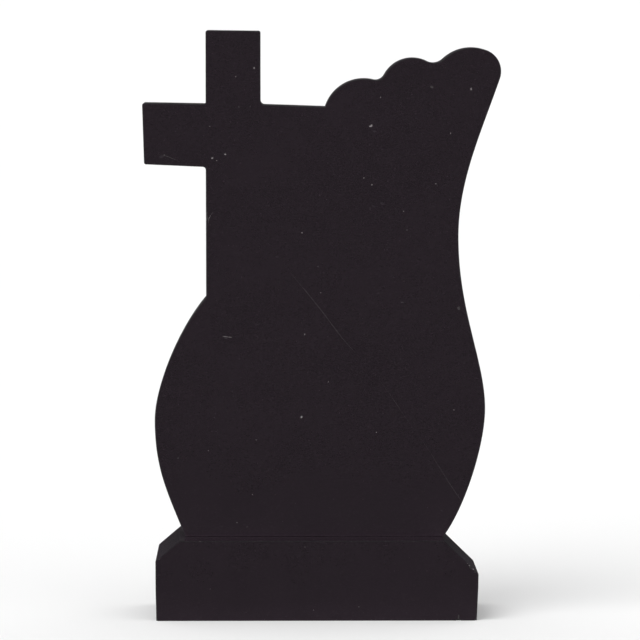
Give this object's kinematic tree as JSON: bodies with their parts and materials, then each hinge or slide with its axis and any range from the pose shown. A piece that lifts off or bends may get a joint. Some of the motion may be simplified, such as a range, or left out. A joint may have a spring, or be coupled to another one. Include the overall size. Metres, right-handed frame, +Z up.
{
  "type": "headstone",
  "caption": "Black stone grave marker: a waisted upright slab with a cross at its left and a lobed crest at its right, on a low plinth with sloping ends.",
  "frame": {"origin": "the middle of the plinth's underside", "axes": "+Z up along the slab's height, +X to the right as seen from the front, -Y out of the polished front face"},
  "size_m": [0.6667, 0.2, 1.0957],
  "materials": {
    "stele_stone": "polished near-black gabbro with a fine grain, faint plum cast, sparse pale specks and a hairline scratch",
    "plinth_stone": "the same near-black gabbro, polished in front, with honed sloping ends and a sawn underside"
  },
  "bodies": {
    "root": {"stele": "stele_stone", "plinth": "plinth_stone"}
  },
  "joints": []
}
